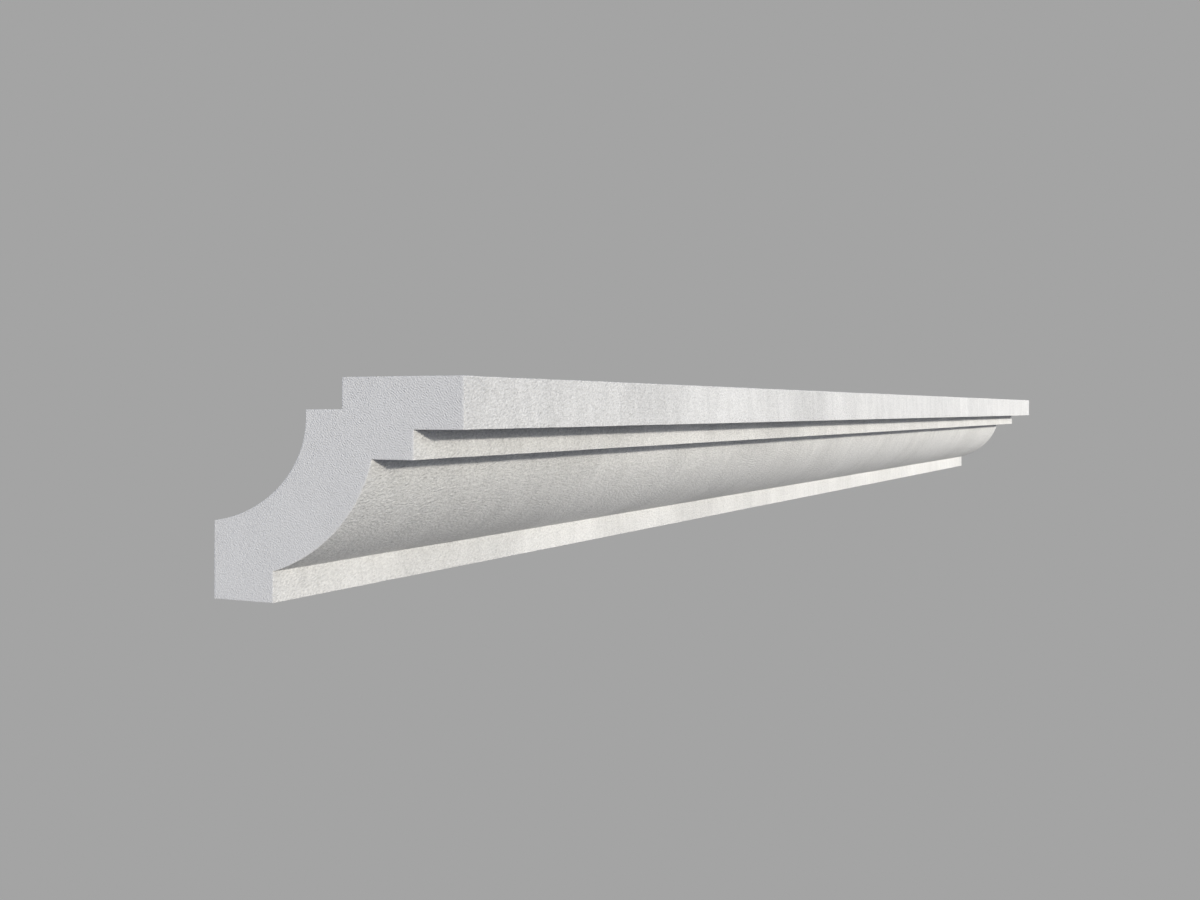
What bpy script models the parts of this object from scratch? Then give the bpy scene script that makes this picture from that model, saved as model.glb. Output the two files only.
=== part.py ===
"""A straight length of corner moulding, for the corner between a wall and a ceiling.

The length runs along X. The wall face lies in the plane y = 0 and looks towards +Y, the room is on
the -Y side, and Z is up. The origin is the centre of the wall face. Sizes are in metres.
"""

import math

import bmesh
import bpy

# The model starts from an empty scene.
for old in list(bpy.data.objects):
    bpy.data.objects.remove(old, do_unlink=True)

# Overall sizes
LENGTH = 2.000
PROJECTION = 0.168  # from the wall to the front of the fascia
HEIGHT = 0.126  # from the underside to the top face

# Front of the section, from the underside up
BASE_DEPTH = 0.0428  # the underside, which is as wide as the base fillet is proud of the wall
BASE_FILLET_HEIGHT = 0.0178
MIDDLE_SOFFIT_WIDTH = 0.0268
MIDDLE_FILLET_HEIGHT = 0.0162
TOP_SOFFIT_WIDTH = 0.0312
FASCIA_HEIGHT = 0.0283

# Back of the section, from the top down
TOP_FACE_WIDTH = 0.0778
STEP_DROP = 0.0175
TREAD_WIDTH = 0.0247
UPRIGHT_HEIGHT = 0.0046
WALL_FACE_HEIGHT = 0.0451

# Both curves are parts of an ellipse with level and upright axes. An angle of 0 degrees is the
# frontmost point of the ellipse and -90 degrees its lowest one.
OVOLO_START, OVOLO_END = math.radians(-70.2), math.radians(-12.0)
COVE_START, COVE_END = math.radians(-80.2), math.radians(0.0)
OVOLO_STEPS = 24
COVE_STEPS = 28

# Finish
COAT_COLOUR = (0.80, 0.79, 0.76, 1.0)
COAT_ROUGHNESS = 0.85

# A corner turns by more than this and stays sharp; the facets of a curve turn by less.
SHARP_ANGLE = math.radians(15.0)


def elliptic_arc(low, high, start, end, steps):
    """Returns the points of an elliptic arc from its low corner to its high one, both included.

    A point is (distance from the wall, height). The ellipse's two radii follow from the corners
    and the angles, so that the arc always meets both corners.
    """
    radius_out = (high[0] - low[0]) / (math.cos(end) - math.cos(start))
    radius_up = (high[1] - low[1]) / (math.sin(end) - math.sin(start))
    centre_out = low[0] - radius_out * math.cos(start)
    centre_up = low[1] - radius_up * math.sin(start)
    angles = [start + (end - start) * step / steps for step in range(steps + 1)]
    return [
        (centre_out + radius_out * math.cos(angle), centre_up + radius_up * math.sin(angle))
        for angle in angles
    ]


def front_outline():
    """Returns the front of the section, from the underside's front edge up to the top face."""
    middle_fillet_out = PROJECTION - TOP_SOFFIT_WIDTH
    ovolo_out = middle_fillet_out - MIDDLE_SOFFIT_WIDTH
    fascia_foot = HEIGHT - FASCIA_HEIGHT
    middle_fillet_foot = fascia_foot - MIDDLE_FILLET_HEIGHT
    ovolo = elliptic_arc(
        (BASE_DEPTH, BASE_FILLET_HEIGHT),
        (ovolo_out, middle_fillet_foot),
        OVOLO_START,
        OVOLO_END,
        OVOLO_STEPS,
    )
    return [
        (BASE_DEPTH, 0.0),
        *ovolo,
        (middle_fillet_out, middle_fillet_foot),
        (middle_fillet_out, fascia_foot),
        (PROJECTION, fascia_foot),
        (PROJECTION, HEIGHT),
    ]


def back_outline():
    """Returns the back of the section, from the top face's rear edge down to the wall's foot."""
    top_face_back = PROJECTION - TOP_FACE_WIDTH
    tread_back = top_face_back - TREAD_WIDTH
    tread_level = HEIGHT - STEP_DROP
    cove = elliptic_arc(
        (0.0, WALL_FACE_HEIGHT),
        (tread_back, tread_level - UPRIGHT_HEIGHT),
        COVE_START,
        COVE_END,
        COVE_STEPS,
    )
    return [
        (top_face_back, HEIGHT),
        (top_face_back, tread_level),
        (tread_back, tread_level),
        *reversed(cove),
        (0.0, 0.0),
    ]


def section_mesh(outline):
    """Returns a mesh of the closed outline, drawn along X over the whole length."""
    middle = WALL_FACE_HEIGHT / 2  # height of the origin above the underside
    form = bmesh.new()
    ring = [form.verts.new((-LENGTH / 2, -out, up - middle)) for out, up in outline]
    first_end = form.faces.new(ring)
    drawn = bmesh.ops.extrude_face_region(form, geom=[first_end])
    moved = [item for item in drawn["geom"] if isinstance(item, bmesh.types.BMVert)]
    bmesh.ops.translate(form, verts=moved, vec=(LENGTH, 0.0, 0.0))
    bmesh.ops.recalc_face_normals(form, faces=form.faces)
    mesh = bpy.data.meshes.new("moulding")
    form.to_mesh(mesh)
    form.free()
    mesh.shade_smooth()
    mesh.set_sharp_from_angle(angle=SHARP_ANGLE)
    return mesh


def coat_material():
    """Returns the sandy white coat that covers the moulding."""
    material = bpy.data.materials.new("sandy_coat")
    material.use_nodes = True
    shader = material.node_tree.nodes["Principled BSDF"]
    shader.inputs["Base Color"].default_value = COAT_COLOUR
    shader.inputs["Roughness"].default_value = COAT_ROUGHNESS
    shader.inputs["Metallic"].default_value = 0.0
    return material


def build_moulding():
    """Adds the moulding, as one solid, to the scene."""
    mesh = section_mesh(front_outline() + back_outline())
    mesh.materials.append(coat_material())
    moulding = bpy.data.objects.new("moulding", mesh)
    bpy.context.scene.collection.objects.link(moulding)


build_moulding()
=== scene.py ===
import logging
import math
from dataclasses import dataclass, field
from enum import Enum

import bpy
import numpy as np
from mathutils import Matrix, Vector, geometry, noise


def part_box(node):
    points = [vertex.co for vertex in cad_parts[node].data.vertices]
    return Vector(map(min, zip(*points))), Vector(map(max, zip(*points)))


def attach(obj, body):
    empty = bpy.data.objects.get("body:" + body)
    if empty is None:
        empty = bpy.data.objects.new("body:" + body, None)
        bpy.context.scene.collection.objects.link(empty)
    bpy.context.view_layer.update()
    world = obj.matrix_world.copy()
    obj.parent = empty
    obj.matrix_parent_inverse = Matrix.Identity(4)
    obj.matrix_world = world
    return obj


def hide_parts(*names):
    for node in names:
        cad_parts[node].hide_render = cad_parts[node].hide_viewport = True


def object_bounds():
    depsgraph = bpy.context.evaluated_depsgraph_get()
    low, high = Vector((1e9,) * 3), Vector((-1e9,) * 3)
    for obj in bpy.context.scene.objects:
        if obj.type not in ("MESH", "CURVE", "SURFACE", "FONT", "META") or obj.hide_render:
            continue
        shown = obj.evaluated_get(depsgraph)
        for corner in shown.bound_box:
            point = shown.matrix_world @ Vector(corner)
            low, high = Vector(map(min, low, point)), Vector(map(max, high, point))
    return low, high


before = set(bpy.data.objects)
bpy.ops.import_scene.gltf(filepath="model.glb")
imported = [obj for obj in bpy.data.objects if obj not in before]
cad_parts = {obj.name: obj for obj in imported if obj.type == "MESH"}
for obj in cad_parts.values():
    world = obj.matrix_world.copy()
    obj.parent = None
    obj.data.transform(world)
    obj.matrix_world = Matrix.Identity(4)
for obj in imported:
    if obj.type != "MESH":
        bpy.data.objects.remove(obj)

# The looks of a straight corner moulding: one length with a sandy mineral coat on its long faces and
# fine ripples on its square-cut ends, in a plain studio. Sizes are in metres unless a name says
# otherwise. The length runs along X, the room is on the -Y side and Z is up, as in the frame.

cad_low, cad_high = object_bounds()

log = logging.getLogger("corner_moulding")

Point = tuple[float, float]
Angles = tuple[float, float]
Place = tuple[float, float, float]
Colour = tuple[float, float, float]

NODE = "moulding"

# Points closer than the gap are one, and a count that passes a whole number by less than the slack
# is that number. The middle is where noise, tones and heights in the node groups balance.
MERGE_GAP = 1e-7
COUNT_SLACK = 1e-6
MIDDLE = 0.5


@dataclass(frozen=True)
class Stretch:
    """A stretch of the length where the coat dried paler than elsewhere, or duller if negative.

    Its tone sets in over the softness, which lies half before the start and half after it. The
    start and the end hold at the foot, and the lean is how far they move on for each metre of
    height. On the base fillet the foot share multiplies the tone.
    """

    start: float
    end: float
    softness: float
    paler: float
    lean: float = 0.0
    foot_share: float = 1.0


STRETCHES = (
    Stretch(-0.95, -0.88, 0.04, 0.06, lean=0.6),
    Stretch(-0.79, -0.73, 0.05, -0.03, foot_share=2.0),
    Stretch(-0.73, -0.60, 0.03, 0.09, lean=0.25),
    Stretch(-0.69, -0.61, 0.02, 0.05, lean=0.5, foot_share=0.5),
    Stretch(-0.53, -0.42, 0.02, 0.07, lean=-0.25),
    Stretch(-0.41, -0.32, 0.02, -0.06, lean=-0.2),
    Stretch(-0.32, -0.10, 0.04, 0.07),
    Stretch(-0.23, -0.15, 0.02, 0.05, foot_share=-1.5),
    Stretch(-0.10, 0.00, 0.06, 0.06, foot_share=0.5),
    Stretch(0.14, 0.26, 0.04, -0.04),
    Stretch(0.33, 0.39, 0.01, 0.06, foot_share=0.0),
    Stretch(0.40, 0.56, 0.03, -0.05, foot_share=0.8),
    Stretch(0.88, 1.10, 0.04, -0.05),
)


class Side(Enum):
    """The parts of the skin that are finished in their own way, by material number."""

    ROOM = 0
    BACK = 1
    CUT = 2


# The section


@dataclass(frozen=True)
class Section:
    """The moulding's section. A point is its distance from the wall and its height over the foot."""

    projection: float
    height: float
    base_depth: float = 0.0428
    base_fillet_height: float = 0.0178
    middle_soffit_width: float = 0.0268
    middle_fillet_height: float = 0.0162
    top_soffit_width: float = 0.0312
    fascia_height: float = 0.0283
    top_face_width: float = 0.0778
    step_drop: float = 0.0175
    tread_width: float = 0.0247
    upright_height: float = 0.0046
    wall_face_height: float = 0.0451
    ovolo_degrees: Angles = (-70.2, -12.0)
    cove_degrees: Angles = (-80.2, 0.0)

    def arc(self, low: Point, high: Point, degrees: Angles, step: float) -> list[Point]:
        """Draws the elliptic arc that joins two corners.

        Args:
            low: The arc's lower corner.
            high: The arc's upper corner.
            degrees: Where the ellipse is at each corner; 0 is its frontmost point, -90 its lowest.
            step: The longest gap between two points.

        Returns:
            The arc's points from low to high, both included.
        """
        start, end = (math.radians(value) for value in degrees)
        out = (high[0] - low[0]) / (math.cos(end) - math.cos(start))
        up = (high[1] - low[1]) / (math.sin(end) - math.sin(start))
        centre = (low[0] - out * math.cos(start), low[1] - up * math.sin(start))
        count = math.ceil(max(out, up) * (end - start) / step)
        turns = np.linspace(start, end, count + 1)
        return [(centre[0] + out * math.cos(t), centre[1] + up * math.sin(t)) for t in turns]

    def front(self, step: float) -> list[Point]:
        """Draws what the room sees, from the wall's foot along the underside and up to the top.

        Args:
            step: The longest gap between two points of a curve.

        Returns:
            The points in order, both ends included.
        """
        fascia_foot = self.height - self.fascia_height
        middle_foot = fascia_foot - self.middle_fillet_height
        middle_out = self.projection - self.top_soffit_width
        ovolo = self.arc(
            (self.base_depth, self.base_fillet_height),
            (middle_out - self.middle_soffit_width, middle_foot),
            self.ovolo_degrees,
            step,
        )
        return [
            (0.0, 0.0),
            (self.base_depth, 0.0),
            *ovolo,
            (middle_out, middle_foot),
            (middle_out, fascia_foot),
            (self.projection, fascia_foot),
            (self.projection, self.height),
        ]

    def back(self, step: float) -> list[Point]:
        """Draws the hidden side, from the top face's rear edge down to the top of the wall face.

        Args:
            step: The longest gap between two points of a curve.

        Returns:
            The points in order, both ends included.
        """
        top_back = self.projection - self.top_face_width
        tread_back = top_back - self.tread_width
        tread = self.height - self.step_drop
        cove = self.arc(
            (0.0, self.wall_face_height),
            (tread_back, tread - self.upright_height),
            self.cove_degrees,
            step,
        )
        return [(top_back, self.height), (top_back, tread), (tread_back, tread), *reversed(cove)]


@dataclass(frozen=True)
class Outline:
    """The section's closed outline, softened at its arrises and cut into short steps.

    Each array has one row for a point; a side belongs to the line that starts at its point.
    """

    points: np.ndarray
    sides: np.ndarray
    arrises: np.ndarray

    @property
    def normals(self) -> np.ndarray:
        """The direction out of the material at each point."""
        ahead = np.roll(self.points, -1, axis=0) - self.points
        ahead /= np.linalg.norm(ahead, axis=1, keepdims=True)
        along = ahead + np.roll(ahead, 1, axis=0)
        along /= np.linalg.norm(along, axis=1, keepdims=True)
        return np.stack([along[:, 1], -along[:, 0]], axis=1)

    @property
    def steps(self) -> np.ndarray:
        """The length of the line that starts at each point."""
        return np.linalg.norm(np.roll(self.points, -1, axis=0) - self.points, axis=1)


@dataclass(frozen=True)
class Softener:
    """Turns a section into an outline whose sharp corners are rounded as a thin coat rounds them."""

    radius: float = 0.00035
    round_steps: int = 4
    support: float = 0.0005
    sharp_degrees: float = 15.0
    room_step: float = 0.0023
    back_step: float = 0.0034

    def corner(self, before: np.ndarray, at: np.ndarray, after: np.ndarray) -> list[np.ndarray]:
        """Rounds one corner.

        Args:
            before: The point before the corner.
            at: The corner.
            after: The point after it.

        Returns:
            The points that take the corner's place, which is the corner alone if it isn't sharp.
        """
        back = (before - at) / np.linalg.norm(before - at)
        on = (after - at) / np.linalg.norm(after - at)
        turn = math.pi - math.acos(float(np.clip(back @ on, -1.0, 1.0)))
        if turn < math.radians(self.sharp_degrees):
            return [at]
        reach = self.radius * math.tan(turn / 2)
        start, end = at + back * reach, at + on * reach
        shares = np.linspace(0.0, 1.0, self.round_steps + 1)
        bend = [start * (1 - t) ** 2 + at * 2 * t * (1 - t) + end * t**2 for t in shares]
        return [start + back * self.support, *bend, end + on * self.support]

    def outline(self, section: Section) -> Outline:
        """Draws the whole outline.

        Args:
            section: The section to draw.

        Returns:
            The closed outline, counter-clockwise with the wall on the left.
        """
        front = section.front(self.room_step)
        loop = np.array(front + section.back(self.back_step))
        count = len(loop)
        points, sides, arrises = [], [], []
        for number in range(count):
            side = Side.ROOM if number < len(front) - 1 else Side.BACK
            rounded = self.corner(loop[number - 1], loop[number], loop[(number + 1) % count])
            points += rounded
            sides += [side.value] * len(rounded)
            arrises += [len(rounded) > 1] * len(rounded)
        return self.stepped(np.array(points), sides, arrises)

    def stepped(self, points: np.ndarray, sides: list[int], arrises: list[bool]) -> Outline:
        """Cuts long straight lines into equal steps.

        Args:
            points: The outline's points.
            sides: The side that each line belongs to.
            arrises: Whether each point belongs to a rounded corner.

        Returns:
            The outline with more points.
        """
        new_points, new_sides, new_arrises = [], [], []
        for number, point in enumerate(points):
            after = points[(number + 1) % len(points)]
            longest = self.room_step if sides[number] == Side.ROOM.value else self.back_step
            pieces = math.ceil(np.linalg.norm(after - point) / longest - COUNT_SLACK)
            for piece in range(pieces):
                new_points.append(point + (after - point) * piece / pieces)
                new_sides.append(sides[number])
                new_arrises.append(arrises[number] and piece == 0)
        return Outline(np.array(new_points), np.array(new_sides), np.array(new_arrises, float))


# The surface's relief


@dataclass(frozen=True)
class Swell:
    """One layer of the coat's unevenness: soft hollows of one size, pressed into the skin.

    The gain widens the noise before it is cut off at the untouched face and at the full depth.
    """

    along: float
    across: float
    depth: float
    seed: float
    gain: float = 2.0

    def pressed(self, places: np.ndarray) -> np.ndarray:
        """Measures the hollows at some places.

        Args:
            places: The places in the frame, one in a row.

        Returns:
            How far each place is pressed in, from 0 to about the depth.
        """
        stretched = places / np.array([self.along, self.across, self.across]) + self.seed
        heights = np.array([noise.noise(Vector(place)) for place in stretched])
        return self.depth * np.clip(self.gain * heights, 0.0, 1.0)


@dataclass(frozen=True)
class BakeSheet:
    """Where each part of the skin lies on the sheet that its colours are baked to.

    The long faces lie in two strips, one for each half of the length, and the cut ends stand in a
    column beside them. The front gets more of a strip's width than the back does.
    """

    column: float = 0.19
    gap: float = 0.006
    room_weight: float = 1.25
    back_weight: float = 0.80

    def across(self, outline: Outline) -> np.ndarray:
        """Shares out a strip's width.

        Args:
            outline: The section's outline.

        Returns:
            The place of each point across a strip, from 0, and 1 for the closing point.
        """
        weights = np.where(outline.sides == Side.ROOM.value, self.room_weight, self.back_weight)
        places = np.concatenate([[0.0], np.cumsum(outline.steps * weights)])
        return places / places[-1]

    def strips(self, outline: Outline, stations: np.ndarray) -> np.ndarray:
        """Lays out the long faces.

        Args:
            outline: The section's outline.
            stations: The rings' places along the length, from 0 to 1.

        Returns:
            The map's place of each corner of each face, by ring, by point and by corner.
        """
        width = 1.0 - self.column - 2 * self.gap
        height = (1.0 - 3 * self.gap) / 2
        across = self.across(outline)
        middles = (stations[:-1] + stations[1:]) / 2
        second = (middles > 0.5)[:, None]
        begin, end = stations[:-1, None], stations[1:, None]
        left = self.gap + width * 2 * (begin - 0.5 * second)
        right = self.gap + width * 2 * (end - 0.5 * second)
        foot = self.gap + (height + self.gap) * second
        low = foot + height * across[None, :-1]
        high = foot + height * across[None, 1:]
        grid = np.broadcast_arrays(left, right, low, high)
        corners = [(grid[0], grid[2]), (grid[1], grid[2]), (grid[1], grid[3]), (grid[0], grid[3])]
        return np.stack([np.stack(corner, axis=-1) for corner in corners], axis=2)

    def end(self, points: np.ndarray, section: Section, number: int) -> np.ndarray:
        """Lays out one cut end, turned so that its height runs along the column's width.

        Args:
            points: Places on the end, as the section gives them.
            section: The section.
            number: 0 for the near end and 1 for the far one.

        Returns:
            The map's place of each point.
        """
        scale = (self.column - self.gap) / section.height
        left = 1.0 - self.column
        foot = self.gap + number * (section.projection * scale + 2 * self.gap)
        return np.stack([left + points[:, 1] * scale, foot + points[:, 0] * scale], axis=1)


# Shader node groups and finishes


@dataclass
class Board:
    """Adds nodes to one node tree and links them."""

    tree: bpy.types.NodeTree

    def add(self, kind: str, settings: dict | None = None, **sockets: object) -> bpy.types.Node:
        """Adds one node.

        Args:
            kind: The node's type, without the word ShaderNode.
            settings: The node's own properties.
            **sockets: Values or links for its inputs. An underscore stands for a space, and a name
                such as in_2 is the input with that number.

        Returns:
            The node.
        """
        node = self.tree.nodes.new("ShaderNode" + kind)
        for name, value in (settings or {}).items():
            setattr(node, name, value)
        for name, value in sockets.items():
            number = name.removeprefix("in_")
            socket = node.inputs[int(number) if number.isdigit() else name.replace("_", " ")]
            if isinstance(value, bpy.types.NodeSocket):
                self.tree.links.new(value, socket)
            else:
                socket.default_value = value
        return node

    def math(self, operation: str, *values: object) -> bpy.types.NodeSocket:
        """Works out one sum, with numbers or links as its values, and returns its result."""
        inputs = {f"in_{number}": value for number, value in enumerate(values)}
        return self.add("Math", {"operation": operation}, **inputs).outputs[0]

    def vector(self, operation: str, *values: object) -> bpy.types.NodeSocket:
        """Works out one sum of vectors and returns its result."""
        inputs = {f"in_{number}": value for number, value in enumerate(values)}
        return self.add("VectorMath", {"operation": operation}, **inputs).outputs[0]

    def scaled(self, vector: bpy.types.NodeSocket, scale: object) -> bpy.types.NodeSocket:
        """Multiplies a vector by one number, and returns the result."""
        settings = {"operation": "SCALE"}
        return self.add("VectorMath", settings, Vector=vector, Scale=scale).outputs[0]

    def mixed(self, share: object, first: object, second: object) -> bpy.types.NodeSocket:
        """Mixes two colours and returns the result."""
        node = self.add("Mix", {"data_type": "RGBA"}, Factor=share, in_6=first, in_7=second)
        return node.outputs["Result"]

    def place(self, group: bpy.types.NodeTree, **sockets: object) -> bpy.types.Node:
        """Places a node group, with values or links for its inputs."""
        return self.add("Group", {"node_tree": group}, **sockets)


def new_group(name: str, inputs: dict[str, str], outputs: list[str]) -> tuple[Board, dict, dict]:
    """Starts a shader node group.

    Args:
        name: The group's name.
        inputs: Each input's name and socket type.
        outputs: The names of the outputs, which are all numbers.

    Returns:
        The board of its tree, its inputs' sockets by name, and its outputs' sockets by name.
    """
    tree = bpy.data.node_groups.new(name, "ShaderNodeTree")
    for label, kind in inputs.items():
        tree.interface.new_socket(label, in_out="INPUT", socket_type="NodeSocket" + kind)
    for label in outputs:
        tree.interface.new_socket(label, in_out="OUTPUT", socket_type="NodeSocketFloat")
    entry, leave = tree.nodes.new("NodeGroupInput"), tree.nodes.new("NodeGroupOutput")
    into = {label: entry.outputs[label] for label in inputs}
    return Board(tree), into, {label: leave.inputs[label] for label in outputs}


@dataclass
class Effects:
    """The shader node groups that the finishes share, each built once.

    The rounding is how much of the grain's height is the round shape of single grains. The wander
    is how far the edges of the stretches go to and fro along the length.
    """

    rounding: float = 0.5
    fleck_shift: Place = (17.3, 41.9, 8.6)
    stroke_distortion: float = 0.4
    wander: float = 0.04
    wander_scale: float = 20.0

    def __post_init__(self) -> None:
        """Builds the groups."""
        self.grain = self.sandy_grain()
        self.patches = self.soft_patches()
        self.strokes = self.cross_strokes()
        self.tone_and_painted_light = self.build_tone_and_painted_light()

    def sandy_grain(self) -> bpy.types.NodeTree:
        """Builds the grain of a fine sand coat: its height, and its tone, both about 0.5."""
        numbers = ("Size", "Stretch", "Lean", "Cavity", "Strength")
        inputs = {"Position": "Vector", **dict.fromkeys(numbers, "Float")}
        board, into, leave = new_group("Sandy grain", inputs, ["Height", "Tone"])
        parts = board.add("SeparateXYZ", Vector=into["Position"])
        lean = board.math("MULTIPLY", parts.outputs["Z"], into["Lean"])
        shift = board.add("CombineXYZ", X=lean).outputs[0]
        across = board.math("DIVIDE", 1.0, into["Size"])
        along = board.math("DIVIDE", across, into["Stretch"])
        scale = board.add("CombineXYZ", X=along, Y=across, Z=across).outputs[0]
        place = board.vector("MULTIPLY", board.vector("SUBTRACT", into["Position"], shift), scale)
        cloud = board.add("TexNoise", Vector=place, Scale=1.0, Detail=2.0, Roughness=0.6)
        grains = board.add("TexVoronoi", {"feature": "SMOOTH_F1"}, Vector=place, Scale=0.8)
        gap = grains.outputs["Distance"]
        rounded = board.math("MULTIPLY_ADD", gap, -self.rounding, self.rounding / 2)
        height = board.math("ADD", cloud.outputs["Fac"], rounded)
        moved = board.vector("ADD", place, self.fleck_shift)
        flecks = board.add("TexNoise", Vector=moved, Scale=1.1, Detail=1.0, Roughness=0.6)
        # The grain's low places are painted darker, partly as dirt in the pits and partly as painted
        # shade.
        sunk = board.math("SUBTRACT", height, flecks.outputs["Fac"])
        tone = board.math("MULTIPLY_ADD", sunk, into["Cavity"], flecks.outputs["Fac"])
        for value, label in ((height, "Height"), (tone, "Tone")):
            apart = board.math("SUBTRACT", value, MIDDLE)
            part = board.math("MULTIPLY_ADD", apart, into["Strength"], MIDDLE)
            board.tree.links.new(part, leave[label])
        return board.tree

    def soft_patches(self) -> bpy.types.NodeTree:
        """Builds cloudy patches of uneven drying, as a mask from 0 to 1."""
        inputs = {"Position": "Vector", "Length": "Float", "Width": "Float", "Softness": "Float"}
        board, into, leave = new_group("Soft patches", inputs, ["Mask"])
        along = board.math("DIVIDE", 1.0, into["Length"])
        across = board.math("DIVIDE", 1.0, into["Width"])
        size = board.add("CombineXYZ", X=along, Y=across, Z=across).outputs[0]
        place = board.vector("MULTIPLY", into["Position"], size)
        cloud = board.add("TexNoise", Vector=place, Scale=1.0, Detail=3.0, Roughness=0.55)
        low = board.math("SUBTRACT", MIDDLE, into["Softness"])
        high = board.math("ADD", MIDDLE, into["Softness"])
        settings = {"interpolation_type": "SMOOTHSTEP"}
        mask = board.add("MapRange", settings, in_0=cloud.outputs["Fac"], in_1=low, in_2=high)
        board.tree.links.new(mask.outputs[0], leave["Mask"])
        return board.tree

    def cross_strokes(self) -> bpy.types.NodeTree:
        """Builds the faint strokes of a brush drawn across the length, as a value about 0.5."""
        inputs = {"Position": "Vector", "Pitch": "Float", "Reach": "Float", "Skew": "Float"}
        board, into, leave = new_group("Cross strokes", inputs, ["Value"])
        parts = board.add("SeparateXYZ", Vector=into["Position"])
        lean = board.math("MULTIPLY", parts.outputs["Z"], into["Skew"])
        along = board.math("DIVIDE", board.math("ADD", parts.outputs["X"], lean), into["Pitch"])
        side = board.math("DIVIDE", parts.outputs["Y"], into["Reach"])
        up = board.math("DIVIDE", parts.outputs["Z"], into["Reach"])
        place = board.add("CombineXYZ", X=along, Y=side, Z=up).outputs[0]
        settings = {"Vector": place, "Scale": 1.0, "Detail": 2.0, "Roughness": 0.5}
        drawn = board.add("TexNoise", Distortion=self.stroke_distortion, **settings)
        board.tree.links.new(drawn.outputs["Fac"], leave["Value"])
        return board.tree

    def build_tone_and_painted_light(self) -> bpy.types.NodeTree:
        """Builds the coat's stretches, and painted light that makes it paler towards the far end and
        near the foot.

        At the height Even Middle the stretches keep only the share Even Share of their distance
        from Even Tone, and all of it at Even Reach above or below. The second output is the
        grain's strength, which is less on the base fillet than elsewhere.
        """
        foot_numbers = ("Foot", "Foot Reach", "Foot Fade", "Foot End", "Foot Grain", "Foot Top")
        even_numbers = ("Even Middle", "Even Reach", "Even Share", "Even Tone")
        numbers = ("Trend", *foot_numbers, *even_numbers)
        inputs = {"Position": "Vector", **dict.fromkeys(numbers, "Float")}
        board, into, leave = new_group("Tone and painted light", inputs, ["Value", "Grain"])
        parts = board.add("SeparateXYZ", Vector=into["Position"])
        size = {"Scale": self.wander_scale, "Detail": 2.0, "Roughness": 0.5}
        edge = board.add("TexNoise", Vector=into["Position"], **size)
        along = board.math("MULTIPLY_ADD", edge.outputs["Fac"], self.wander, parts.outputs["X"])
        along = board.math("SUBTRACT", along, self.wander / 2)
        rise = board.math("SUBTRACT", parts.outputs["Z"], cad_low.z)
        settings = {"interpolation_type": "SMOOTHSTEP"}
        above = {"in_1": into["Foot Top"], "in_2": into["Even Middle"]}
        higher = board.add("MapRange", settings, in_0=rise, **above).outputs[0]
        bands = 0.0
        for stretch in STRETCHES:
            middle, half = (stretch.start + stretch.end) / 2, (stretch.end - stretch.start) / 2
            place = board.math("MULTIPLY_ADD", rise, -stretch.lean, along)
            gap = board.math("ABSOLUTE", board.math("SUBTRACT", place, middle))
            begin, end = half - stretch.softness / 2, half + stretch.softness / 2
            foot_tone = stretch.paler * stretch.foot_share
            tone = board.math("MULTIPLY_ADD", higher, stretch.paler - foot_tone, foot_tone)
            span = {"in_1": begin, "in_2": end, "in_3": tone, "in_4": 0.0}
            soft = board.add("MapRange", settings, in_0=gap, **span)
            bands = board.math("ADD", bands, soft.outputs[0])
        away = board.math("ABSOLUTE", board.math("SUBTRACT", rise, into["Even Middle"]))
        even = {"in_1": 0.0, "in_2": into["Even Reach"], "in_3": into["Even Share"], "in_4": 1.0}
        strength = board.add("MapRange", settings, in_0=away, **even)
        apart = board.math("SUBTRACT", bands, into["Even Tone"])
        total = board.math("MULTIPLY_ADD", apart, strength.outputs[0], into["Even Tone"])
        # Painted light: the coat grows paler towards the far end, where the light is brighter.
        total = board.math("MULTIPLY_ADD", along, into["Trend"], total)
        # Painted light: paler near the foot, for the light thrown back onto the base, fading out
        # towards the far end.
        near = {"in_1": 0.0, "in_2": into["Foot Reach"], "in_3": into["Foot"], "in_4": 0.0}
        foot = board.add("MapRange", settings, in_0=rise, **near)
        far = {"in_1": into["Foot Fade"], "in_2": into["Foot End"], "in_3": 1.0, "in_4": 0.0}
        share = board.add("MapRange", settings, in_0=along, **far)
        total = board.math("MULTIPLY_ADD", foot.outputs[0], share.outputs[0], total)
        grain = board.add("MapRange", settings, in_0=rise, in_3=into["Foot Grain"], **above)
        board.tree.links.new(total, leave["Value"])
        board.tree.links.new(grain.outputs[0], leave["Grain"])
        return board.tree


@dataclass(frozen=True)
class Shader:
    """The plain values of a chalky, matt surface."""

    roughness: float = 0.88
    specular: float = 0.35

    def add(self, board: Board, colour: object, height: object) -> None:
        """Adds the shader, its bump and the material's output.

        Args:
            board: The material's board.
            colour: The link that gives the colour.
            height: The link that gives the relief's height in metres.
        """
        bump = board.add("Bump", Strength=1.0, Distance=1.0, Height=height)
        shader = board.add(
            "BsdfPrincipled",
            Base_Color=colour,
            Roughness=self.roughness,
            Specular_IOR_Level=self.specular,
            Normal=bump.outputs["Normal"],
        )
        board.add("OutputMaterial", Surface=shader.outputs[0])


def new_material(name: str) -> Board:
    """Starts a material with an empty node tree and returns the board of that tree."""
    material = bpy.data.materials.new(name)
    material.use_nodes = True
    material.node_tree.nodes.clear()
    return Board(material.node_tree)


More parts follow.
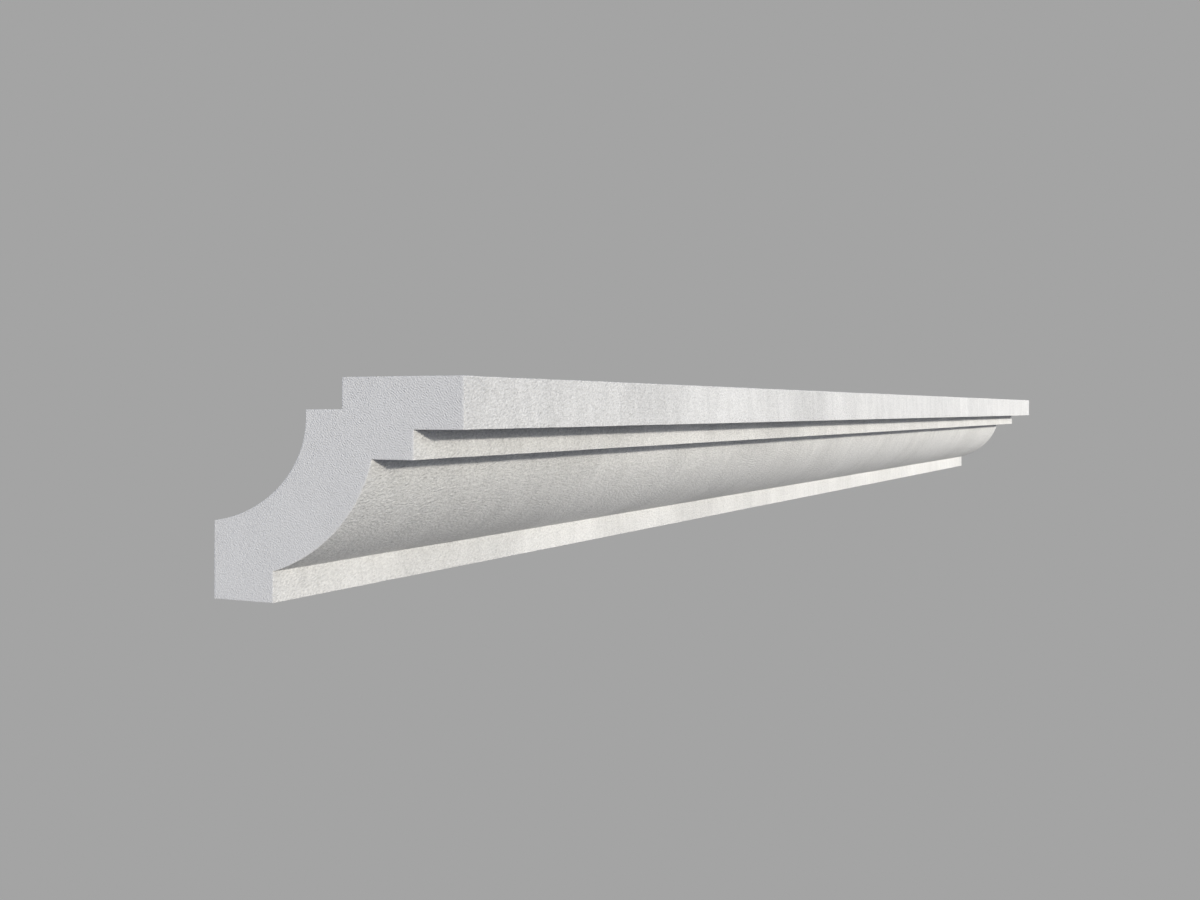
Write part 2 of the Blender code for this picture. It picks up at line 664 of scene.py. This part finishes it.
@dataclass(frozen=True)
class SandyCoat:
    """The thin coat of fine sand and white binder on the long faces."""

    name: str
    colour: Colour = (0.693, 0.683, 0.661)
    pale: Colour = (0.765, 0.755, 0.733)
    # Painted light: the coat is made paler towards the far end, where the light is brighter.
    painted_far_light: float = 0.06
    # Painted light: the foot numbers make the coat paler near the foot, for the light thrown back
    # onto the base.
    foot: float = 0.045
    foot_reach: float = 0.07
    foot_fade: float = 0.30
    foot_end: float = 0.95
    foot_grain: float = 0.80
    foot_top: float = 0.018
    even_middle: float = 0.048
    even_reach: float = 0.036
    even_share: float = 0.30
    even_tone: float = 0.035
    patch_length: float = 0.16
    patch_width: float = 0.30
    patch_softness: float = 0.20
    grain_size: float = 0.0012
    grain_stretch: float = 1.6
    grain_lean: float = 0.4
    grain_depth: float = 0.00090
    grain_tone: float = 1.00
    # How much darker the grain's pits are painted, partly as dirt and partly as painted shade.
    grain_cavity: float = 0.5
    stroke_pitch: float = 0.008
    stroke_reach: float = 0.03
    stroke_skew: float = 0.15
    stroke_depth: float = 0.00055
    stroke_tone: float = 0.24
    shader: Shader = field(default_factory=Shader)

    def material(self, effects: Effects) -> bpy.types.Material:
        """Builds the material.

        Args:
            effects: The node groups that the finishes share.

        Returns:
            The material.
        """
        board = new_material(self.name)
        place = board.add("TexCoord").outputs["Object"]
        tone_and_painted_light = board.place(
            effects.tone_and_painted_light,
            Position=place,
            Trend=self.painted_far_light,
            Foot=self.foot,
            Foot_Reach=self.foot_reach,
            Foot_Fade=self.foot_fade,
            Foot_End=self.foot_end,
            Foot_Grain=self.foot_grain,
            Foot_Top=self.foot_top,
            Even_Middle=self.even_middle,
            Even_Reach=self.even_reach,
            Even_Share=self.even_share,
            Even_Tone=self.even_tone,
        )
        grain = board.place(
            effects.grain,
            Position=place,
            Size=self.grain_size,
            Stretch=self.grain_stretch,
            Lean=self.grain_lean,
            Cavity=self.grain_cavity,
            Strength=tone_and_painted_light.outputs["Grain"],
        )
        patches = board.place(
            effects.patches,
            Position=place,
            Length=self.patch_length,
            Width=self.patch_width,
            Softness=self.patch_softness,
        )
        strokes = board.place(
            effects.strokes,
            Position=place,
            Pitch=self.stroke_pitch,
            Reach=self.stroke_reach,
            Skew=self.stroke_skew,
        )
        stroke, tone = strokes.outputs["Value"], grain.outputs["Tone"]
        colour = board.mixed(patches.outputs["Mask"], (*self.colour, 1.0), (*self.pale, 1.0))
        middle = 1.0 - (self.grain_tone + self.stroke_tone) * MIDDLE
        # This value is the stretches' tone plus painted light, paler towards the far end and near
        # the foot.
        light = board.math("ADD", tone_and_painted_light.outputs["Value"], middle)
        light = board.math("MULTIPLY_ADD", tone, self.grain_tone, light)
        light = board.math("MULTIPLY_ADD", stroke, self.stroke_tone, light)
        colour = board.scaled(colour, light)
        height = board.math("MULTIPLY", grain.outputs["Height"], self.grain_depth)
        height = board.math("MULTIPLY_ADD", stroke, self.stroke_depth, height)
        self.shader.add(board, colour, height)
        return bpy.data.materials[self.name]


@dataclass(frozen=True)
class CutFace:
    """A square-cut end, with the short slanting ripples that the cutting leaves."""

    name: str
    colour: Colour = (0.669, 0.662, 0.646)
    pale: Colour = (0.699, 0.692, 0.675)
    patch_size: float = 0.05
    patch_softness: float = 0.2
    grain_size: float = 0.0010
    grain_stretch: float = 1.0
    grain_lean: float = 0.0
    grain_depth: float = 0.00030
    grain_tone: float = 0.54
    grain_cavity: float = 0.3
    ripple_pitch: float = 0.0013
    ripple_cell: float = 0.0032
    ripple_degrees: float = 62.0
    ripple_order: float = 0.5
    ripple_depth: float = 0.00030
    # How much painted shade darkens the ripples' troughs.
    ripple_trough_shade: float = 0.16
    ripple_reach: float = 0.22
    ripple_foot_share: float = 0.35
    shader: Shader = field(default_factory=Shader)

    def material(self, effects: Effects) -> bpy.types.Material:
        """Builds the material.

        Args:
            effects: The node groups that the finishes share.

        Returns:
            The material.
        """
        board = new_material(self.name)
        place = board.add("TexCoord").outputs["Object"]
        grain = board.place(
            effects.grain,
            Position=place,
            Size=self.grain_size,
            Stretch=self.grain_stretch,
            Lean=self.grain_lean,
            Cavity=self.grain_cavity,
            Strength=1.0,
        )
        patches = board.place(
            effects.patches,
            Position=place,
            Length=self.patch_size,
            Width=self.patch_size,
            Softness=self.patch_softness,
        )
        parts = board.add("SeparateXYZ", Vector=place)
        out = board.math("MULTIPLY", parts.outputs["Y"], -1.0)
        flat = board.add("CombineXYZ", X=out, Y=parts.outputs["Z"]).outputs[0]
        ripples = board.add(
            "TexGabor",
            Vector=flat,
            Scale=1.0 / self.ripple_cell,
            Frequency=self.ripple_cell / self.ripple_pitch,
            Anisotropy=self.ripple_order,
            in_4=math.radians(self.ripple_degrees),
        )
        rise = board.math("SUBTRACT", board.math("ADD", out, parts.outputs["Z"]), cad_low.z)
        span = {"in_1": 0.0, "in_2": self.ripple_reach, "in_3": self.ripple_foot_share, "in_4": 1.0}
        strength = board.add("MapRange", {"interpolation_type": "SMOOTHSTEP"}, in_0=rise, **span)
        wave = board.math("SUBTRACT", ripples.outputs["Value"], MIDDLE)
        ripple = board.math("MULTIPLY", wave, strength.outputs[0])
        colour = board.mixed(patches.outputs["Mask"], (*self.colour, 1.0), (*self.pale, 1.0))
        tone, middle = grain.outputs["Tone"], 1.0 - self.grain_tone * MIDDLE
        light = board.math("MULTIPLY_ADD", tone, self.grain_tone, middle)
        # Painted shade: the ripples' troughs are darker and their crests paler.
        light = board.math("MULTIPLY_ADD", ripple, self.ripple_trough_shade, light)
        colour = board.scaled(colour, light)
        height = board.math("MULTIPLY", grain.outputs["Height"], self.grain_depth)
        height = board.math("MULTIPLY_ADD", ripple, self.ripple_depth, height)
        self.shader.add(board, colour, height)
        return bpy.data.materials[self.name]


# The piece


@dataclass
class Moulding:
    """The moulding itself: one skin drawn along the length, closed by two cut ends.

    The cap clearance is how far the ends' inner points keep from their rim, in cap steps.
    """

    low: Vector
    high: Vector
    softener: Softener = field(default_factory=Softener)
    sheet: BakeSheet = field(default_factory=BakeSheet)
    ring_step: float = 0.0067
    end_radius: float = 0.00018
    cap_step: float = 0.0011
    cap_clearance: float = 0.7
    swells: tuple[Swell, ...] = (
        Swell(0.090, 0.060, 0.00012, 3.1),
        Swell(0.026, 0.050, 0.00006, 11.7),
        Swell(0.011, 0.009, 0.00004, 29.3),
    )
    arris_wear: Swell = Swell(0.018, 0.014, 0.00014, 47.9)

    def __post_init__(self) -> None:
        """Works out the section and its outline from the frame's box."""
        self.length = self.high.x - self.low.x
        self.section = Section(self.high.y - self.low.y, self.high.z - self.low.z)
        self.outline = self.softener.outline(self.section)

    def stations(self) -> tuple[np.ndarray, np.ndarray]:
        """Sets out the rings.

        Returns:
            Each ring's distance from the near end, and how far its outline is drawn in there.
        """
        soft = self.end_radius
        part = soft * (1 - math.sqrt(0.5))
        begin = np.array([0.0, part, soft, 2 * soft])
        inset = np.array([soft, part, 0.0, 0.0])
        count = round((self.length - 4 * soft) / self.ring_step)
        middle = np.linspace(2 * soft, self.length - 2 * soft, count + 1)[1:-1]
        places = np.concatenate([begin, middle, self.length - begin[::-1]])
        return places, np.concatenate([inset, np.zeros(len(middle)), inset[::-1]])

    def to_frame(self, along: np.ndarray, points: np.ndarray) -> np.ndarray:
        """Turns places along the length and points of the section into places in the frame."""
        out, up = points[..., 0], points[..., 1]
        return np.stack([self.low.x + along, self.high.y - out, self.low.z + up], axis=-1)

    def pressed(self, places: np.ndarray) -> np.ndarray:
        """Adds up the coat's swells at some places, one in a row."""
        return sum(swell.pressed(places) for swell in self.swells)

    def skin(self, along: np.ndarray, inset: np.ndarray) -> np.ndarray:
        """Makes the rings of the long faces.

        Args:
            along: Each ring's distance from the near end.
            inset: How far each ring is drawn in.

        Returns:
            The places of all the rings' points, by ring and by point.
        """
        normals = self.outline.normals
        points = self.outline.points[None] - normals[None] * inset[:, None, None]
        rings = self.to_frame(np.broadcast_to(along[:, None], points.shape[:2]), points)
        flat = rings.reshape(-1, 3)
        depth = self.pressed(flat).reshape(points.shape[:2])
        depth += self.arris_wear.pressed(flat).reshape(depth.shape) * self.outline.arrises
        points = points - normals[None] * depth[..., None]
        return self.to_frame(np.broadcast_to(along[:, None], depth.shape), points)

    def end_grid(self) -> tuple[np.ndarray, np.ndarray]:
        """Fills the section with small triangles.

        Returns:
            The points, which begin with the outline's, and the triangles by point numbers.
        """
        rim = self.outline.points - self.outline.normals * self.end_radius
        step = self.cap_step
        rows = np.arange(step, self.section.height, step * math.sqrt(3) / 2)
        columns = np.arange(step, self.section.projection, step)
        grid = np.stack(np.meshgrid(columns, rows), axis=-1)
        grid[1::2, :, 0] += step / 2
        inner = self.inside(grid.reshape(-1, 2), rim, self.cap_clearance * step)
        ring = list(range(len(rim)))
        points = [Vector(point) for point in np.concatenate([rim, inner])]
        inside_only = 1
        found = geometry.delaunay_2d_cdt(points, [], [ring], inside_only, MERGE_GAP)
        return np.array([tuple(point) for point in found[0]]), np.array(found[2])

    @staticmethod
    def inside(points: np.ndarray, rim: np.ndarray, clearance: float) -> np.ndarray:
        """Keeps the points that lie inside a closed line and clear of it.

        Args:
            points: The points.
            rim: The line's own points.
            clearance: How far a point has to be from the line.

        Returns:
            The points kept.
        """
        within = np.zeros(len(points), bool)
        nearest = np.full(len(points), np.inf)
        for start, end in zip(rim, np.roll(rim, -1, axis=0), strict=True):
            rise = end[1] - start[1]
            crosses = (start[1] > points[:, 1]) != (end[1] > points[:, 1])
            if rise:
                reach = start[0] + (points[:, 1] - start[1]) * (end[0] - start[0]) / rise
                within ^= crosses & (points[:, 0] < reach)
            line = end - start
            share = np.clip((points - start) @ line / (line @ line), 0.0, 1.0)
            gaps = np.linalg.norm(points - start - share[:, None] * line, axis=1)
            nearest = np.minimum(nearest, gaps)
        return points[within & (nearest > clearance)]

    def build(self) -> bpy.types.Object:
        """Makes the piece's mesh and puts it in the scene.

        Returns:
            The piece.
        """
        along, inset = self.stations()
        rings = self.skin(along, inset)
        count, size = rings.shape[:2]
        ring = np.arange(count - 1)[:, None] * size
        here, after = np.arange(size)[None], (np.arange(size)[None] + 1) % size
        quads = np.stack([ring + here, ring + size + here, ring + size + after, ring + after], -1)
        maps = self.sheet.strips(self.outline, along / self.length)
        vertices = [rings.reshape(-1, 3)]
        faces = quads.reshape(-1, 4).tolist()
        layout = [maps.reshape(-1, 2)]
        slots = [np.broadcast_to(self.outline.sides, (count - 1, size)).ravel()]
        total = count * size
        points, triangles = self.end_grid()
        for number, first in enumerate((0, (count - 1) * size)):
            inner = points[size:]
            places = self.to_frame(np.full(len(inner), number * self.length), inner)
            places[:, 0] += (1 - 2 * number) * self.pressed(places)
            numbers = np.concatenate([np.arange(size) + first, np.arange(len(inner)) + total])
            total += len(inner)
            turned = triangles[:, ::-1] if number else triangles
            faces += numbers[turned].tolist()
            vertices.append(places)
            layout.append(self.sheet.end(points[turned.ravel()], self.section, number))
            slots.append(np.full(len(triangles), Side.CUT.value))
        mesh = bpy.data.meshes.new("corner_moulding")
        mesh.from_pydata(np.concatenate(vertices).tolist(), [], faces)
        mesh.polygons.foreach_set("material_index", np.concatenate(slots).astype(np.int32))
        sheet = mesh.uv_layers.new(name="OFBake")
        sheet.uv.foreach_set("vector", np.concatenate(layout).astype(np.float32).ravel())
        mesh.shade_smooth()
        piece = bpy.data.objects.new("corner_moulding", mesh)
        bpy.context.scene.collection.objects.link(piece)
        return piece

    def dress(self, piece: bpy.types.Object, effects: Effects) -> None:
        """Gives the piece its finishes, in the order of the sides' numbers.

        Args:
            piece: The piece.
            effects: The node groups that the finishes share.
        """
        room = SandyCoat("room_side_coat")
        back = SandyCoat("back_coat", even_reach=1.0, stroke_tone=0.05, stroke_depth=0.00008)
        for finish in (room, back, CutFace("cut_end")):
            piece.data.materials.append(finish.material(effects))


# The studio


@dataclass(frozen=True)
class Lamp:
    """A distant lamp. Its way is the direction that its light travels in."""

    name: str
    way: Place
    strength: float
    colour: Colour
    spread_degrees: float

    def hang(self) -> None:
        """Adds the lamp to the scene."""
        light = bpy.data.lights.new(self.name, "SUN")
        light.energy, light.color = self.strength, self.colour
        light.angle = math.radians(self.spread_degrees)
        lamp = bpy.data.objects.new(self.name, light)
        lamp.rotation_euler = Vector(self.way).to_track_quat("-Z", "Y").to_euler()
        bpy.context.scene.collection.objects.link(lamp)


@dataclass(frozen=True)
class SoftBox:
    """A round soft box that stands by itself and isn't seen."""

    name: str
    place: Place
    aim: Place
    size: float
    watts: float
    colour: Colour

    def hang(self) -> None:
        """Adds the soft box to the scene."""
        light = bpy.data.lights.new(self.name, "AREA")
        light.shape, light.size = "DISK", self.size
        light.energy, light.color = self.watts, self.colour
        box = bpy.data.objects.new(self.name, light)
        box.location = self.place
        way = Vector(self.aim) - Vector(self.place)
        box.rotation_euler = way.to_track_quat("-Z", "Y").to_euler()
        box.visible_camera = False
        bpy.context.scene.collection.objects.link(box)


KEY_WAY = (0.487, 0.855, -0.180)


@dataclass(frozen=True)
class Studio:
    """A plain pale floor, the lights and the camera."""

    tone: float = 0.371
    ambient: Colour = (0.042, 0.093, 0.230)
    floor_level: float = -3.4
    floor_size: float = 800.0
    floor_glow: float = 0.25
    camera_place: Place = (-1.5753, -0.5283, 0.0857)
    camera_heading_degrees: float = -63.874
    lens_mm: float = 39.234
    sensor_mm: float = 36.0
    horizon_shift: float = -0.0336
    lamps: tuple[Lamp | SoftBox, ...] = (
        Lamp("key", KEY_WAY, 2.07, (1.0, 0.953, 0.875), 2.2),
        Lamp("key_glow", KEY_WAY, 0.56, (1.0, 1.0, 0.88), 16.0),
        Lamp("left_fill", (1.0, 0.15, -0.2), 1.67, (1.0, 0.985, 0.98), 100.0),
        Lamp("back_fill", (-0.5, -0.8, -0.45), 2.1, (1.0, 0.95, 0.80), 40.0),
        SoftBox(
            "far_fill",
            place=(2.2, -2.368, 0.537),
            aim=(1.0, -0.168, 0.075),
            size=0.3,
            watts=27.5,
            colour=(1.0, 1.0, 0.98),
        ),
    )

    def lay_floor(self) -> None:
        """Lays the floor far enough down for the moulding to hang clear, as high on a wall."""
        half = self.floor_size / 2
        corners = [(-half, -half), (half, -half), (half, half), (-half, half)]
        mesh = bpy.data.meshes.new("floor")
        mesh.from_pydata([(x, y, self.floor_level) for x, y in corners], [], [(0, 1, 2, 3)])
        board = new_material("pale_floor")
        seen = board.add("LightPath").outputs["Is Camera Ray"]
        paint = board.add("BsdfDiffuse", Color=(self.floor_glow,) * 3 + (1.0,))
        shown = board.add("Emission", Color=(self.tone,) * 3 + (1.0,))
        look = board.add("MixShader", Fac=seen, in_1=paint.outputs[0], in_2=shown.outputs[0])
        board.add("OutputMaterial", Surface=look.outputs[0])
        mesh.materials.append(bpy.data.materials["pale_floor"])
        floor = bpy.data.objects.new("floor", mesh)
        bpy.context.scene.collection.objects.link(floor)

    def light(self) -> None:
        """Sets the surroundings and hangs the lamps."""
        world = bpy.data.worlds.new("studio")
        world.use_nodes = True
        world.node_tree.nodes.clear()
        board = Board(world.node_tree)
        seen = board.add("LightPath").outputs["Is Camera Ray"]
        colour = board.mixed(seen, (*self.ambient, 1.0), (self.tone,) * 3 + (1.0,))
        board.add("OutputWorld", Surface=board.add("Background", Color=colour).outputs[0])
        bpy.context.scene.world = world
        for lamp in self.lamps:
            lamp.hang()

    def place_camera(self) -> None:
        """Places the level camera and makes it the scene's."""
        data = bpy.data.cameras.new("camera")
        data.lens, data.sensor_width = self.lens_mm, self.sensor_mm
        data.shift_y = self.horizon_shift
        data.clip_end = self.floor_size
        camera = bpy.data.objects.new("camera", data)
        camera.location = self.camera_place
        camera.rotation_euler = (math.pi / 2, 0.0, math.radians(self.camera_heading_degrees))
        bpy.context.scene.collection.objects.link(camera)
        bpy.context.scene.camera = camera

    def build(self) -> None:
        """Builds the studio and shows colours as they are."""
        self.lay_floor()
        self.light()
        self.place_camera()
        bpy.context.scene.view_settings.view_transform = "Standard"


def main() -> None:
    """Builds the studio and the moulding, and reports each piece."""
    logging.basicConfig(level=logging.INFO, format="%(name)s: %(message)s")
    Studio().build()
    moulding = Moulding(*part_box(NODE))
    piece = moulding.build()
    moulding.dress(piece, Effects())
    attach(piece, "root")
    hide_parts(NODE)
    faces = sum(len(face.vertices) - 2 for face in piece.data.polygons)
    log.info("%s: %d triangles, %d finishes", piece.name, faces, len(piece.data.materials))


if __name__ == "__main__":
    main()
